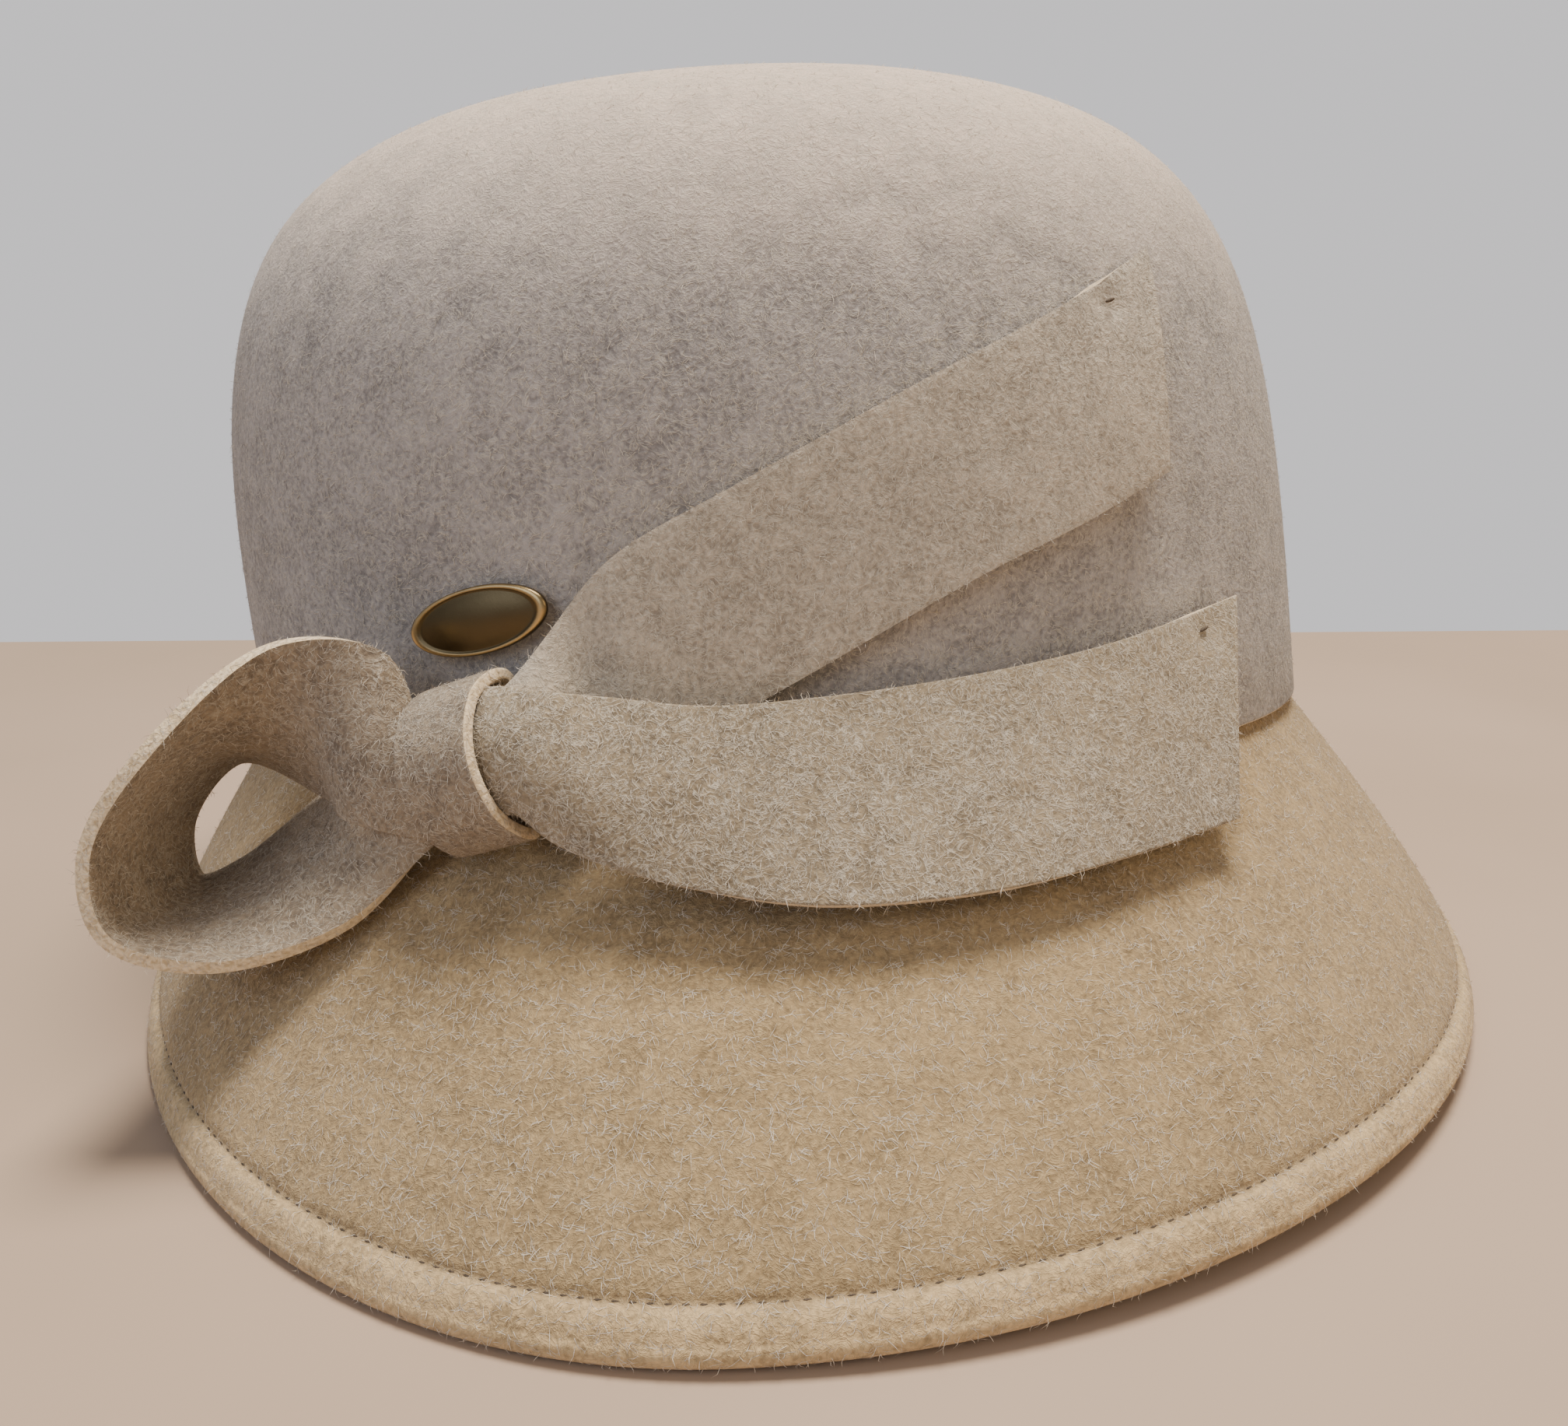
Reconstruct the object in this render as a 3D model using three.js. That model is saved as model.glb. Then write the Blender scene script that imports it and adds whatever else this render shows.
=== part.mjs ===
// A wool-felt cloche hat: a deep blocked crown, a flared brim whose edge is turned under,
// and a one-loop felt bow with two tails, a knot and a small oval badge on one side.
// Millimetres, +Z up, +X to the front of the hat, -Y to the side that carries the bow.
// The origin is on the table, under the middle of the hat.
import * as THREE from "three";
import { LoftGeometry } from "three/addons/geometries/LoftGeometry.js";

// ---------------------------------------------------------------- driving dimensions
const FELT = 2; // thickness of every felt wall
const GAP = 0.3; // clearance between pieces that touch
const AROUND = 64; // sections round the hat

const CROWN = {
  halfLength: 102, // outer face at the seam, front to back
  halfWidth: 90.5, // outer face at the seam, side to side
  height: 110, // seam to top, along the crown's own axis
  narrowing: 0.018, // share by which the walls draw in over the full height
  lean: 10, // how far the walls lean to the back over the full height
  shoulder: 3.8, // roundness of the shoulder: 2 is an ellipse, more is squarer
  shoulderSpread: 0.3, // added to the roundness at the front, taken off at the back
  seat: [-6, 11.4, 44.5], // middle of the seam
  backTilt: 1.35, // degrees that the front of the seam stands up
  sideTilt: 4.7, // degrees that the bow side of the seam stands up
};

const BRIM = {
  middle: [-14.7, 11], // where the edge oval is widest
  back: 110.3, // from there to the middle of the rolled edge, each way
  front: 139.7,
  bowSide: 143.2,
  farSide: 121.2,
  collar: 8, // height of the collar sewn inside the crown
  ease: 0.5, // clearance of the collar inside the crown
  tuck: 1.2, // how far the crown's cut edge stands over the brim
  bulge: 1.6, // fullness of the flare
  hem: 4.5, // rolled edge to the stitch line, along the flare
  turning: 8, // rolled edge to the raw edge inside
  groove: 0.35, // depth of the stitch line
  restAngle: 65, // degrees below level where the roll is flattened by its own weight
};
const EDGE_LIFT = { height: 3, turn: 305, spread: 28 }; // where the edge stands off the table

// The bow is made of strips of felt, held by a band, the knot, on the crown's bow side.
const STRIP = 27; // width of a strip
const KNOT = {
  turn: 246.4, // where its middle lies on the crown
  rise: 4.4,
  standOff: 6.8,
  tilt: 14, // degrees that its foot stands out
  swing: 6, // degrees that it faces to the back
  twist: 13, // degrees that its foot is pulled to the front
  width: 13,
  height: 24.8,
  depth: 10,
  gathered: 17, // width of the strips inside it
  lead: 1.2, // how far they run on straight past its edges
  bend: 7.2, // how far its middle bulges outwards
};

// The loop, from the knot's left round and back to it: middle of the strip, direction across
// it, its width and its bulge.
// columns: x, y, z, acrossX, acrossY, acrossZ, width, cup
const LOOP = [
  [-66.8, -76.2, 58.8, 0.2, 0.15, 0.97, 24.5, 2.0],
  [-77.5, -71.3, 59.6, -0.09, -0.34, 0.94, STRIP, 0.6],
  [-93.4, -71.7, 54.9, -0.09, -0.94, 0.33, STRIP, 0],
  [-102.0, -73.7, 43.0, -0.12, -0.98, 0.17, STRIP, 0],
  [-100.4, -75.4, 32.7, -0.09, -0.99, 0.08, STRIP, 0],
  [-90.4, -75.3, 31.6, 0.15, -0.97, -0.18, STRIP, 0],
  [-73.7, -73.9, 39.6, 0.28, -0.83, -0.49, 26, 1],
];

// The tails, from the knot's right to the free end: where their two edges lie on the crown,
// and the bulge between them.
// columns: turn, rise and stand-off of the upper edge, then of the lower edge, cup
const UPPER_TAIL = [
  [253.8, 25.8, 2.2, 255.4, 0.2, 6.2, -0.4],
  [258.6, 33.4, 2.2, 259.7, 5.0, 3.6, 0.4],
  [268.0, 42.0, 1.9, 269.4, 13.8, 2.4, 0.2],
  [285.1, 56.4, 2.0, 286.4, 28.7, 2.6, 0.3],
  [297.5, 65.4, 2.0, 296.4, 35.4, 2.7, 0.7],
  [309.0, 73.9, 2.2, 305.8, 41.8, 2.9, 1.2],
];
const LOWER_TAIL = [
  [252.8, 15.4, 11.2, 253.8, -3.8, 15.8, 2.8],
  [257.6, 14.2, 8.9, 258.0, -6.9, 17.4, 1.6],
  [264.1, 12.8, 7.6, 263.5, -9.7, 18.3, 0.6],
  [272.8, 13.2, 5.6, 270.8, -11.9, 19.3, 0.2],
  [285.3, 14.9, 3.8, 282.0, -12.2, 18.0, 0],
  [298.0, 17.6, 3.2, 292.5, -11.0, 15.2, 0],
  [313.9, 22.1, 3.0, 304.5, -9.6, 12.8, 0],
];

const BADGE = {
  turn: 245.6,
  rise: 24,
  standOff: 1,
  tilt: 0,
  swing: 0,
  twist: 8,
  length: 23.6,
  height: 9.8,
  thickness: 1.4,
  dome: 0.5, // height of the dome over the rim, as a share of the thickness
};

// ---------------------------------------------------------------- finishes
const felt = { color: "#b9a794", roughness: 0.95, metalness: 0 };
const hemFelt = { color: "#bda98f", roughness: 0.95, metalness: 0 };
const brass = { color: "#6e5733", roughness: 0.35, metalness: 1 };

const hat = new THREE.Group();

function addPiece(name, geometry, finish) {
  const mesh = new THREE.Mesh(geometry, new THREE.MeshStandardMaterial(finish));
  mesh.name = name;
  hat.add(mesh);
}

const radians = THREE.MathUtils.degToRad;
const cosine = (degrees) => Math.cos(radians(degrees));
const sine = (degrees) => Math.sin(radians(degrees));
const vector = (x, y, z) => new THREE.Vector3(x, y, z);
const turnAt = (i) => (360 * i) / AROUND;

// ---------------------------------------------------------------- the crown's own surface
const seat = new THREE.Matrix4()
  .makeTranslation(...CROWN.seat)
  .multiply(new THREE.Matrix4().makeRotationY(radians(-CROWN.backTilt)))
  .multiply(new THREE.Matrix4().makeRotationX(radians(-CROWN.sideTilt)));

// A point on the wall: turn in degrees from +X towards +Y, share of the height, and how far
// inside the outer face. Below the seam the wall carries on straight.
function crownFace(turn, share, inset = 0) {
  const power = CROWN.shoulder + CROWN.shoulderSpread * cosine(turn);
  const closing = share > 0 ? Math.max(0, 1 - share ** power) ** (1 / power) : 1;
  const drawn = 1 - CROWN.narrowing * share;
  return vector(
    closing * ((CROWN.halfLength - inset) * drawn * cosine(turn) - CROWN.lean * share),
    closing * (CROWN.halfWidth - inset) * drawn * sine(turn),
    share * (CROWN.height - inset),
  ).applyMatrix4(seat);
}

// A point off the wall, by its height over the seam and its distance out from the outer face.
function offCrown(turn, rise, standOff) {
  const share = rise / CROWN.height;
  const here = crownFace(turn, share);
  const round = crownFace(turn + 0.1, share).sub(here);
  const up = crownFace(turn, share + 0.001).sub(here);
  return here.addScaledVector(round.cross(up).normalize(), standOff);
}

// ---------------------------------------------------------------- crown
const WALL_STEPS = 11;

// Rings crowd towards the shoulder, and the last one closes to a point at the top.
function crownRing(step, inset) {
  const share = sine((90 * step) / WALL_STEPS) ** (2 / CROWN.shoulder);
  return Array.from({ length: AROUND }, (_, i) => crownFace(turnAt(i), share, inset));
}

function crownGeometry() {
  const rings = [];
  for (let step = WALL_STEPS; step >= 0; step -= 1) rings.push(crownRing(step, FELT));
  for (let step = 0; step <= WALL_STEPS; step += 1) rings.push(crownRing(step, 0));
  return new LoftGeometry(rings);
}

// ---------------------------------------------------------------- brim
function edgeLift(turn) {
  const away = (turn - EDGE_LIFT.turn) / EDGE_LIFT.spread;
  return EDGE_LIFT.height * Math.exp(-away * away);
}

// One radial section of the brim, as a closed outline that starts at the roll.
function brimSection(turn) {
  const along = cosine(turn) < 0 ? BRIM.back : BRIM.front;
  const across = sine(turn) < 0 ? BRIM.bowSide : BRIM.farSide;
  const roll = vector(
    BRIM.middle[0] + along * cosine(turn),
    BRIM.middle[1] + across * sine(turn),
    FELT * sine(BRIM.restAngle) + edgeLift(turn),
  );
  const head = crownFace(turn, 0, BRIM.tuck);
  head.z -= BRIM.tuck;
  const out = vector(roll.x - head.x, roll.y - head.y, 0);
  const reach = out.length();
  const drop = head.z - roll.z;
  out.normalize();
  const normalAngle = THREE.MathUtils.radToDeg(Math.atan2(reach, drop));
  const direction = (angle) => vector(0, 0, sine(angle)).addScaledVector(out, cosine(angle));
  const normal = direction(normalAngle);
  const start = roll.clone().addScaledVector(normal, FELT);
  const slant = start.distanceTo(head);

  // up the flare from the roll: distance along it and depth under its outer face
  const flare = (distance, depth) => {
    const share = distance / slant;
    const full = BRIM.bulge * Math.sin(Math.PI * Math.min(1, share) ** 0.7);
    return start.clone().lerp(head, share).addScaledVector(normal, full - depth);
  };
  const rollPoint = (angle) => roll.clone().addScaledVector(direction(angle), FELT);
  const collar = (share, inset) => crownFace(turn, share, inset);
  const collarTop = BRIM.collar / CROWN.height;
  const outside = FELT + BRIM.ease;

  const outline = [];
  for (let k = 0; k <= 3; k += 1) {
    outline.push(rollPoint(THREE.MathUtils.lerp(normalAngle - 180, 180 + BRIM.restAngle - 360, k / 3)));
  }
  for (let k = 0; k <= 4; k += 1) {
    outline.push(rollPoint(THREE.MathUtils.lerp(-BRIM.restAngle, normalAngle, k / 4)));
  }
  outline.push(flare(BRIM.hem * 0.5, -BRIM.groove));
  outline.push(flare(BRIM.hem, BRIM.groove));
  outline.push(flare(BRIM.hem * 1.3, 0));
  for (const share of [0.2, 0.36, 0.52, 0.68, 0.84, 1]) outline.push(flare(slant * share, 0));
  outline.push(collar(0, outside), collar(collarTop, outside));
  outline.push(collar(collarTop, outside + FELT), collar(0, outside + FELT));
  for (const share of [0.88, 0.68, 0.52, 0.36]) outline.push(flare(slant * share, FELT));
  outline.push(flare(BRIM.turning * 1.1, FELT), flare(BRIM.turning, 2 * FELT));
  return outline.reverse();
}

function brimGeometry() {
  const sections = Array.from({ length: AROUND }, (_, i) => brimSection(turnAt(i)));
  return new LoftGeometry([...sections, sections[0]]);
}

// ---------------------------------------------------------------- the knot's place
// A frame on the crown's side: z out from the wall, y up it, x round it towards the front.
function sideFrame({ turn, rise, standOff, tilt, swing, twist }) {
  const place = offCrown(turn, rise, standOff);
  const out = offCrown(turn, rise, standOff + 1).sub(place).normalize();
  const up = offCrown(turn, rise + 1, standOff).sub(place).normalize();
  const round = up.clone().cross(out).normalize();
  const frame = new THREE.Matrix4().makeBasis(round, out.clone().cross(round), out);
  const turned = new THREE.Euler(radians(-tilt), radians(-swing), radians(twist), "YXZ");
  return frame.setPosition(place).multiply(new THREE.Matrix4().makeRotationFromEuler(turned));
}
const knotFrame = sideFrame(KNOT);
const knotBend = (y) => KNOT.bend * (1 - ((2 * y) / KNOT.height) ** 2);
const LAYER = FELT / 2 + GAP; // from the middle of the knot to the middle of each strip

// ---------------------------------------------------------------- strips of felt
// A strip is laid through rows, each the two edges of the strip and its bulge between them.
function loopRow([x, y, z, acrossX, acrossY, acrossZ, width, cup]) {
  const across = vector(acrossX, acrossY, acrossZ).normalize();
  const edge = (side) => vector(x, y, z).addScaledVector(across, (side * width) / 2);
  return { upper: edge(1), lower: edge(-1), cup };
}

function tailRow([turn, rise, standOff, lowTurn, lowRise, lowStandOff, cup]) {
  return {
    upper: offCrown(turn, rise, standOff),
    lower: offCrown(lowTurn, lowRise, lowStandOff),
    cup,
  };
}

// Inside the knot: place along its width, layer in front (1) or behind (-1), and which way up.
function knotRow(place, layer, upright) {
  const half = KNOT.gathered / 2;
  const depth = layer * LAYER + knotBend(half);
  const edge = (side) => vector(place, side * upright * half, depth).applyMatrix4(knotFrame);
  return { upper: edge(1), lower: edge(-1), cup: knotBend(0) - knotBend(half) };
}

// facing is 1 where the bulge is on the right-hand side of the strip's way, its upper edge up,
// and -1 where it is on the left.
function stripGeometry(rows, steps, cells, facing) {
  const smooth = (points) => new THREE.CatmullRomCurve3(points, false, "centripetal");
  const upper = smooth(rows.map((row) => row.upper));
  const lower = smooth(rows.map((row) => row.lower));
  const cups = smooth(rows.map((row, k) => vector(k, row.cup, 0)));
  const flat = (u, w) => upper.getPoint(u).lerp(lower.getPoint(u), w);
  const small = 0.003;
  const outwards = (u, w) => {
    const along = flat(Math.min(1, u + small), w).sub(flat(Math.max(0, u - small), w));
    return along.cross(lower.getPoint(u).sub(upper.getPoint(u))).normalize();
  };
  const face = (u, w, side) => {
    const bulge = facing * 4 * w * (1 - w) * cups.getPoint(u).y;
    return flat(u, w).addScaledVector(outwards(u, w), bulge + (side * FELT) / 2);
  };
  const sections = [];
  for (let j = 0; j <= steps; j += 1) {
    const section = [];
    for (let i = 0; i <= cells; i += 1) section.push(face(j / steps, i / cells, -1));
    for (let i = cells; i >= 0; i -= 1) section.push(face(j / steps, i / cells, 1));
    sections.push(section);
  }
  return new LoftGeometry(sections, { capStart: true, capEnd: true });
}

// The strips run straight inside the knot and a little past its edges.
function knotRows(way, layer, upright) {
  const past = KNOT.width / 2 + KNOT.lead;
  return [GAP, past * 0.7, past].map((place) => knotRow(way * place, layer, upright));
}
const loopRows = [
  ...knotRows(-1, 1, 1),
  ...LOOP.map(loopRow),
  ...knotRows(-1, -1, -1).reverse(),
];
const upperTailRows = [...knotRows(1, -1, 1), ...UPPER_TAIL.map(tailRow)];
const lowerTailRows = [...knotRows(1, 1, 1), ...LOWER_TAIL.map(tailRow)];

// ---------------------------------------------------------------- knot
// The knot is a band round the gathered strips, bent outwards with them.
function bandOutline(shape, inset) {
  const half = KNOT.depth / 2 - inset;
  const straight = (KNOT.height - KNOT.depth) / 2;
  const quarter = KNOT.gathered / 4;
  for (const end of [1, -1]) {
    const from = end > 0 ? 0 : Math.PI;
    shape.absarc(0, end * straight, half, from, from + Math.PI, false);
    for (const y of [quarter, 0, -quarter]) shape.lineTo(-end * half, end * y);
  }
  shape.closePath();
}

function knotGeometry() {
  const band = new THREE.Shape();
  bandOutline(band, 0);
  const inside = new THREE.Path();
  bandOutline(inside, FELT);
  band.holes.push(inside);
  const geometry = new THREE.ExtrudeGeometry(band, {
    depth: KNOT.width,
    bevelEnabled: false,
    curveSegments: 8,
  });
  geometry.translate(0, 0, -KNOT.width / 2);
  geometry.rotateY(Math.PI / 2);
  const place = geometry.getAttribute("position");
  for (let i = 0; i < place.count; i += 1) {
    place.setZ(i, place.getZ(i) + knotBend(place.getY(i)));
  }
  return geometry.applyMatrix4(knotFrame);
}

// ---------------------------------------------------------------- badge
// An oval plate with a low dome, its face turned a little up towards the front.
function badgeGeometry() {
  const profile = [
    [0, 0],
    [0.94, 0],
    [1, 0.3],
    [1, 0.8],
    [0.93, 1],
    [0.6, 1 + BADGE.dome * 0.64],
    [0.3, 1 + BADGE.dome * 0.91],
    [0, 1 + BADGE.dome],
  ].map(([radius, height]) => new THREE.Vector2(radius, height * BADGE.thickness));
  const geometry = new THREE.LatheGeometry(profile, 32);
  geometry.rotateX(Math.PI / 2);
  geometry.scale(BADGE.length / 2, BADGE.height / 2, 1);
  return geometry.applyMatrix4(sideFrame(BADGE));
}

// ---------------------------------------------------------------- assembly
addPiece("crown", crownGeometry(), felt);
addPiece("brim", brimGeometry(), hemFelt);
addPiece("bow_loop", stripGeometry(loopRows, 40, 4, 1), felt);
addPiece("bow_knot", knotGeometry(), felt);
addPiece("upper_tail", stripGeometry(upperTailRows, 24, 4, -1), felt);
addPiece("lower_tail", stripGeometry(lowerTailRows, 28, 4, -1), felt);
addPiece("badge", badgeGeometry(), brass);

export default hat;
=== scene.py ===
"""A wool-felt cloche hat with a one-loop bow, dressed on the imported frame.

Metres, +Z up, +X to the front of the hat, -Y to the side that carries the bow. Each felt
piece is laid on the same forms as the frame's, finer, with its stitches and nap.
"""
import logging
import math
import random
from dataclasses import dataclass
from enum import Enum
from typing import Callable, Iterable, NamedTuple

import bmesh
import bpy
from mathutils import Euler, Matrix, Vector


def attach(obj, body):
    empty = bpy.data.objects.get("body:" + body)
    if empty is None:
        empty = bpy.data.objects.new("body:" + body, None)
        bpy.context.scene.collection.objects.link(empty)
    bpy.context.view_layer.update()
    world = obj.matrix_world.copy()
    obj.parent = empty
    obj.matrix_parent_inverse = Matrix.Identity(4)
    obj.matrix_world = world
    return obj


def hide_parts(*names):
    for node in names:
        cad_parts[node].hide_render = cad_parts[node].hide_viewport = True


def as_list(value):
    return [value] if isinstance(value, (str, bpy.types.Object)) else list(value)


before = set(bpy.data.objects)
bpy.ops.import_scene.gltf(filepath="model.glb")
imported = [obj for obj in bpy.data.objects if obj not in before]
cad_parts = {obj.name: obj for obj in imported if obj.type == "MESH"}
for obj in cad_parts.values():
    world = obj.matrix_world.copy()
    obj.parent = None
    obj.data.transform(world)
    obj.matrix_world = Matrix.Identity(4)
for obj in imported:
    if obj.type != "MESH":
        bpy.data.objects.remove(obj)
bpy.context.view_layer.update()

MM = 0.001
FELT = 2 * MM
GAP = 0.3 * MM
STRIP = 27 * MM
BODY = "root"

log = logging.getLogger("hat")


# ---------------------------------------------------------------- shader maths
class Wire:
    """A shader socket or a number that can be used in an expression."""

    def __init__(self, bench: "Bench", value: object) -> None:
        """Holds the socket or number, and the bench that its nodes are laid on."""
        self.bench = bench
        self.value = value

    def _maths(self, operation: str, *others: object) -> "Wire":
        """Adds one Math node on this value and the others."""
        return self.bench.node("ShaderNodeMath", {"operation": operation}, [self, *others])

    def __add__(self, other: object) -> "Wire":
        """Sum."""
        return self._maths("ADD", other)

    __radd__ = __add__

    def __mul__(self, other: object) -> "Wire":
        """Product."""
        return self._maths("MULTIPLY", other)

    __rmul__ = __mul__

    def __sub__(self, other: object) -> "Wire":
        """Difference."""
        return self._maths("SUBTRACT", other)

    def __rsub__(self, other: object) -> "Wire":
        """Difference from a number."""
        return self.bench.node("ShaderNodeMath", {"operation": "SUBTRACT"}, [other, self])

    def __pow__(self, other: object) -> "Wire":
        """Power."""
        return self._maths("POWER", other)

    def ridge(self, sharpness: float) -> "Wire":
        """Turns noise into thin lines where it crosses its middle value."""
        away = (self * 2 - 1)._maths("ABSOLUTE")
        return (1 - away) ** sharpness

    def between(self, low: float, high: float) -> "Wire":
        """Maps this value from low..high to 0..1, smoothly and clamped."""
        settings = {"interpolation_type": "SMOOTHSTEP"}
        return self.bench.node("ShaderNodeMapRange", settings, {"Value": self, "From Min": low, "From Max": high})


class Bench:
    """The node tree of one material."""

    def __init__(self, material: bpy.types.Material) -> None:
        """Clears the material's tree and lays a Principled shader on it."""
        material.use_nodes = True
        self.tree = material.node_tree
        self.tree.nodes.clear()
        self.shader = self.tree.nodes.new("ShaderNodeBsdfPrincipled")
        output = self.tree.nodes.new("ShaderNodeOutputMaterial")
        self.tree.links.new(self.shader.outputs["BSDF"], output.inputs["Surface"])

    def node(
        self,
        kind: str,
        settings: dict[str, object] | None = None,
        inputs: dict[str, object] | list[object] | None = None,
        output: int | str = 0,
    ) -> Wire:
        """Adds a node.

        Args:
            kind: The node's type.
            settings: Properties that are set first.
            inputs: Values or wires of its sockets, by name or in order.
            output: Which of its outputs to return.

        Returns:
            The output as a wire.
        """
        made = self.tree.nodes.new(kind)
        for name, value in (settings or {}).items():
            setattr(made, name, value)
        pairs = inputs.items() if isinstance(inputs, dict) else enumerate(inputs or [])
        for key, value in pairs:
            self.feed(made.inputs[key], value)
        return Wire(self, made.outputs[output])

    def feed(self, socket: bpy.types.NodeSocket, value: object) -> None:
        """Links a wire into a socket, or sets the socket to a plain value."""
        if isinstance(value, Wire) and isinstance(value.value, bpy.types.NodeSocket):
            self.tree.links.new(value.value, socket)
        else:
            socket.default_value = value.value if isinstance(value, Wire) else value

    def place(self) -> Wire:
        """Object coordinates."""
        return self.node("ShaderNodeTexCoord", output="Object")

    def height(self, place: Wire) -> Wire:
        """The Z of a place."""
        return self.node("ShaderNodeSeparateXYZ", inputs=[place], output="Z")

    def moved(self, place: Wire, shift: tuple[float, float, float], turn: float) -> Wire:
        """A place shifted, and turned about an oblique axis."""
        inputs = {"Vector": place, "Location": shift, "Rotation": (turn, turn * 0.7, turn * 1.3)}
        return self.node("ShaderNodeMapping", inputs=inputs)

    def noise(self, place: Wire, size: float, detail: float = 2.0, warp: float = 0.0) -> Wire:
        """Noise whose blots are about size metres across."""
        inputs = {"Vector": place, "Scale": 1 / size, "Detail": detail, "Distortion": warp}
        return self.node("ShaderNodeTexNoise", inputs=inputs, output="Fac")

    def mix(self, share: object, first: object, second: object) -> Wire:
        """Mixes two colours."""
        made = self.tree.nodes.new("ShaderNodeMix")
        made.data_type = "RGBA"
        for key, value in ((0, share), (6, first), (7, second)):
            self.feed(made.inputs[key], value)
        return Wire(self, made.outputs[2])

    def attribute(self, name: str) -> Wire:
        """A value painted on the mesh."""
        return self.node("ShaderNodeAttribute", {"attribute_name": name}, output="Fac")

    def bump(self, height: Wire, distance: float, strength: float) -> None:
        """Feeds the shader's normal."""
        inputs = {"Height": height, "Distance": distance, "Strength": strength}
        self.feed(self.shader.inputs["Normal"], self.node("ShaderNodeBump", inputs=inputs))

    def set(self, **constants: object) -> None:
        """Sets the shader's own sockets, named with _ for spaces."""
        for name, value in constants.items():
            self.feed(self.shader.inputs[name.replace("_", " ")], value)


Colour = tuple[float, float, float, float]


def tint(red: float, green: float, blue: float) -> Colour:
    """A colour given as it shows on screen, 0 to 255.

    Args:
        red: Red.
        green: Green.
        blue: Blue.

    Returns:
        The same colour in linear light.
    """
    linear = [((c / 255 + 0.055) / 1.055) ** 2.4 for c in (red, green, blue)]
    return (*linear, 1.0)


# ---------------------------------------------------------------- finishes
@dataclass(frozen=True)
class Felt:
    """Marled wool felt: soft mottling under short pale fibres."""

    name: str
    dark: Colour
    body: Colour
    fibre: Colour
    # top: painted highlight, a lighter colour for the upper crown where light from above falls
    top: Colour | None = None
    hem: Colour | None = None
    fibre_share: float = 0.55
    sheen: float = 0.12

    def material(self) -> bpy.types.Material:
        """Makes the felt.

        Returns:
            The material.
        """
        made = bpy.data.materials.new(self.name)
        bench = Bench(made)
        place = bench.place()
        blotch = bench.noise(place, 34 * MM, 3)
        mottle = bench.noise(place, 6 * MM, 5, 0.4)
        grain = bench.noise(place, 0.8 * MM, 3)
        tuft = bench.noise(place, 2.6 * MM, 3).between(0.35, 0.65)
        long_hair = bench.noise(bench.moved(place, (0.3, 0.1, 0.2), 0.6), 3.2 * MM, 2.5, 3.4)
        short_hair = bench.noise(bench.moved(place, (0.7, 0.4, 0.1), 1.9), 1.9 * MM, 2.0, 3.0)
        hairs = long_hair.ridge(17) * 0.55 + short_hair.ridge(15) * (tuft * 0.5)
        shade = mottle * 0.3 + grain * 0.5 + blotch * 0.15
        colour = bench.mix(shade.between(0.32, 0.6), self.dark, self.body)
        # Painted highlight: the upper crown is mixed towards the top colour, standing in for light from above
        if self.top is not None:
            height = bench.height(place) + (mottle - 0.5) * (20 * MM)
            colour = bench.mix(height.between(110 * MM, 158 * MM), colour, self.top)
        if self.hem is not None:
            edge = bench.attribute("hem")
            colour = bench.mix(edge * (shade.between(0.3, 0.62) * 0.5 + 0.15), colour, self.hem)
            # Painted shade: felt along the stitch line is darkened, standing in for shade in the stitch groove and its
            # holes
            colour = bench.mix(bench.attribute("painted_groove_shade") * 0.45, colour, tint(112, 94, 74))
        colour = bench.mix(hairs.between(0.0, 0.75) * self.fibre_share, colour, self.fibre)
        bench.set(Base_Color=colour, Roughness=0.95, Sheen_Weight=self.sheen)
        bench.set(Sheen_Roughness=0.6, Specular_IOR_Level=0.2)
        bench.bump(hairs * 0.6 + grain * 0.9 + mottle * 1.6, 0.5 * MM, 0.6)
        return made


@dataclass(frozen=True)
class CutFelt:
    """The cut edge of felt: denser and without the marl, its pale colour a painted highlight where light from above
    catches the edge.
    """

    name: str
    body: Colour
    shade: Colour

    def material(self) -> bpy.types.Material:
        """Makes the cut edge.

        Returns:
            The material.
        """
        made = bpy.data.materials.new(self.name)
        bench = Bench(made)
        place = bench.place()
        crumb = bench.noise(place, 0.7 * MM, 4, 0.6)
        colour = bench.mix(crumb.between(0.3, 0.65), self.shade, self.body)
        bench.set(Base_Color=colour, Roughness=1.0, Sheen_Weight=0.3, Specular_IOR_Level=0.15)
        bench.bump(crumb, 0.5 * MM, 0.7)
        return made


@dataclass(frozen=True)
class Thread:
    """Spun sewing thread."""

    name: str
    body: Colour
    shade: Colour

    def material(self) -> bpy.types.Material:
        """Makes the thread.

        Returns:
            The material.
        """
        made = bpy.data.materials.new(self.name)
        bench = Bench(made)
        ply = bench.noise(bench.place(), 0.25 * MM, 2, 1.0)
        bench.set(Base_Color=bench.mix(ply.between(0.35, 0.65), self.shade, self.body), Roughness=0.8)
        bench.bump(ply, 0.1 * MM, 0.5)
        return made


@dataclass(frozen=True)
class AgedBrass:
    """Dark plated brass, worn bright along its rim."""

    name: str
    dark: Colour
    worn: Colour

    def material(self) -> bpy.types.Material:
        """Makes the brass.

        Returns:
            The material.
        """
        made = bpy.data.materials.new(self.name)
        bench = Bench(made)
        place = bench.place()
        cloud = bench.noise(place, 3 * MM, 4, 0.5)
        scratch = bench.noise(bench.moved(place, (0.1, 0.2, 0.3), 0.9), 0.5 * MM, 3, 1.5)
        wear = bench.attribute("rim") * 0.8 + (cloud - 0.5) * 0.35
        colour = bench.mix(wear.between(0.1, 0.9), self.dark, self.worn)
        bench.set(Base_Color=colour, Metallic=1.0)
        bench.set(Roughness=0.24 + cloud * 0.14 + scratch * 0.08)
        bench.bump(scratch * 0.4 + cloud * 0.6, 0.08 * MM, 0.35)
        return made


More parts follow.
